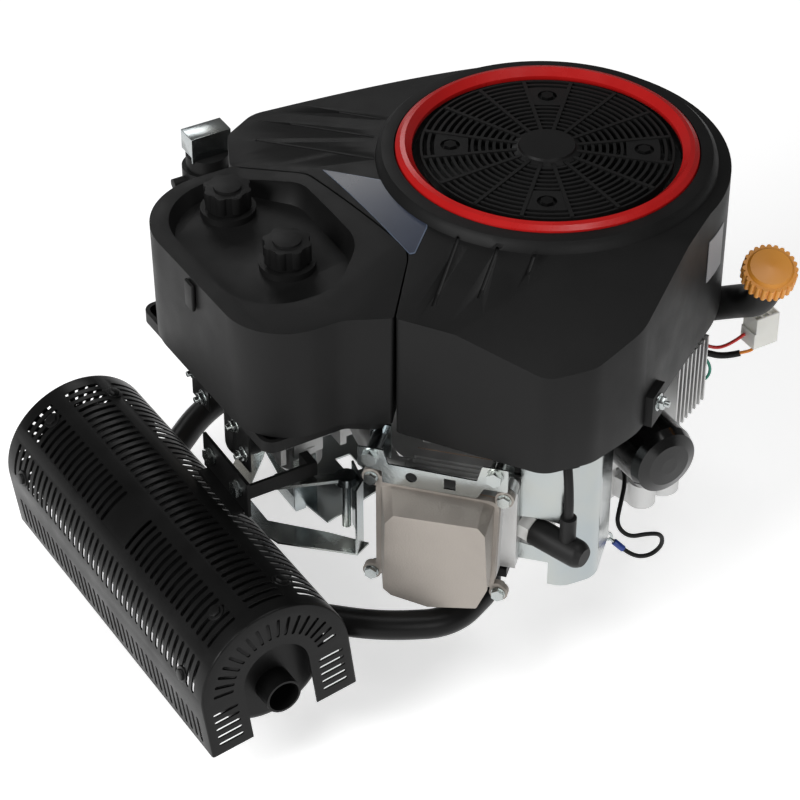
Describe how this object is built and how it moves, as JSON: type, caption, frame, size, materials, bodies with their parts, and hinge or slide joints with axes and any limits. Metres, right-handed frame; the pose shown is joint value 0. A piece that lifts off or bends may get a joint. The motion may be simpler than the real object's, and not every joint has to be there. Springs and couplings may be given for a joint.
{
  "type": "small gasoline engine",
  "caption": "Vertical-shaft V-twin small petrol engine with blower housing, side air cleaner, shielded muffler, oil filter and output shaft.",
  "frame": {"origin": "on the crankshaft axis at the face of the mounting flange", "axes": "+Z along the crankshaft, from the output shaft up to the cooling fan; -X along the middle of the V, towards the muffler"},
  "size_m": [0.6298, 0.5309, 0.415],
  "materials": {
    "machined_steel": "ground",
    "cast_iron_part": "as cast and ground",
    "cast_aluminium": "as cast, fine grain",
    "warm_cast_aluminium": "as cast, warm grey",
    "piston_aluminium": "machined",
    "bearing_bronze": "plain",
    "gasket_sheet": "fibre sheet",
    "zinc_plate": "bright zinc plate",
    "black_steel": "heat-resistant satin black",
    "black_plastic": "fine grained moulding",
    "black_gloss": "gloss enamel",
    "black_rubber": "matt",
    "red_gloss": "gloss",
    "yellow_plastic": "satin",
    "white_nylon": "milky",
    "wire_sheath": "smooth",
    "porcelain": "glazed",
    "filter_paper": "pleated paper"
  },
  "bodies": {
    "engine": {"air_cover": "black_plastic", "blower_housing": "black_plastic", "carburettor": "cast_aluminium", "crankcase": "cast_aluminium", "cylinder_1": "cast_aluminium", "cylinder_2": "cast_aluminium", "cylinder_head_1": "cast_aluminium", "cylinder_head_2": "cast_aluminium", "cylinder_shroud_1": "zinc_plate", "cylinder_shroud_2": "zinc_plate", "exhaust_pipes": "black_steel", "filter_base": "black_plastic", "filter_element": "filter_paper", "flange_bolts": "zinc_plate", "fuel_pump": "black_plastic", "gaskets": "gasket_sheet", "grille_ring": "red_gloss", "ground_lead": "black_rubber", "harness_wires": "wire_sheath", "heat_shield": "black_steel", "ignition_coils": "black_plastic", "intake_manifold": "cast_aluminium", "main_bearings": "bearing_bronze", "muffler_bracket": "black_steel", "muffler_can": "black_steel", "oil_fill_tube": "black_plastic", "oil_filter": "black_gloss", "plug_boots": "black_rubber", "plug_leads": "black_rubber", "regulator": "cast_aluminium", "shroud_brackets": "zinc_plate", "spark_plugs": "porcelain", "starter_motor": "black_steel", "sump": "cast_aluminium", "valley_baffle": "zinc_plate", "valve_cover_1": "warm_cast_aluminium", "valve_cover_2": "warm_cast_aluminium", "valve_train_1": "machined_steel", "valve_train_2": "machined_steel", "wiring_connector": "white_nylon"},
    "crank": {"crankshaft": "machined_steel", "crank_gear": "machined_steel", "flywheel": "cast_aluminium", "ring_gear": "machined_steel", "flywheel_fixings": "zinc_plate", "cooling_fan": "black_plastic", "rotating_screen": "black_plastic", "screen_bolts": "black_steel"},
    "cam": {"camshaft": "cast_iron_part", "cam_gear": "machined_steel"},
    "piston_body_1": {"piston_1": "piston_aluminium"},
    "piston_body_2": {"piston_2": "piston_aluminium"},
    "rod_body_1": {"connecting_rod_1": "piston_aluminium"},
    "rod_body_2": {"connecting_rod_2": "piston_aluminium"},
    "knob_body_1": {"cover_knob_1": "black_plastic"},
    "knob_body_2": {"cover_knob_2": "black_plastic"},
    "filler_cap": {"oil_cap": "yellow_plastic"},
    "throttle": {"throttle_lever": "zinc_plate"},
    "choke": {"choke_lever": "zinc_plate"},
    "governor": {"governor_arm": "zinc_plate"}
  },
  "joints": [
    {"name": "crank_spin", "type": "hinge", "parent": "engine", "child": "crank", "pos_m": [0, 0, 0], "axis": [0, 0, 1], "continuous": true, "deforming": ["connecting_rod_1", "connecting_rod_2"]},
    {"name": "cam_spin", "type": "hinge", "parent": "engine", "child": "cam", "pos_m": [-0.078, 0, 0], "axis": [0, 0, 1], "continuous": true},
    {"name": "piston_1_stroke", "type": "slide", "parent": "engine", "child": "piston_body_1", "axis": [-0.7071, -0.7071, 0], "range_m": [-0.0621, 0.0137]},
    {"name": "piston_2_stroke", "type": "slide", "parent": "engine", "child": "piston_body_2", "axis": [-0.7071, 0.7071, 0], "range_m": [-0.0621, 0.0137]},
    {"name": "rod_1_swing", "type": "hinge", "parent": "piston_body_1", "child": "rod_body_1", "pos_m": [-0.10894, -0.10894, 0.1], "axis": [0, 0, 1], "range_deg": [-28.9, 5.1]},
    {"name": "rod_2_swing", "type": "hinge", "parent": "piston_body_2", "child": "rod_body_2", "pos_m": [-0.10894, 0.10894, 0.124], "axis": [0, 0, 1], "range_deg": [-5.1, 28.9]},
    {"name": "cover_knob_1_turn", "type": "hinge", "parent": "engine", "child": "knob_body_1", "pos_m": [-0.255, 0.103, 0.3], "axis": [0, 0, 1], "continuous": true},
    {"name": "cover_knob_2_turn", "type": "hinge", "parent": "engine", "child": "knob_body_2", "pos_m": [-0.249, 0.007, 0.3], "axis": [0, 0, 1], "continuous": true},
    {"name": "oil_cap_lift", "type": "slide", "parent": "engine", "child": "filler_cap", "axis": [-0.161, -0.3758, 0.9126], "range_m": [0, 0.08]},
    {"name": "throttle_turn", "type": "hinge", "parent": "engine", "child": "throttle", "pos_m": [-0.232, 0, 0.13], "axis": [0, 0, 1], "range_deg": [0, 80]},
    {"name": "choke_turn", "type": "hinge", "parent": "engine", "child": "choke", "pos_m": [-0.264, 0, 0.13], "axis": [0, 0, 1], "range_deg": [0, 80]},
    {"name": "governor_turn", "type": "hinge", "parent": "engine", "child": "governor", "pos_m": [-0.24, -0.072, 0.1], "axis": [0, 0, 1], "range_deg": [-12, 12]}
  ],
  "couplings": [
    {"joint": "cam_spin", "follows": "crank_spin", "ratio": -0.5}
  ]
}
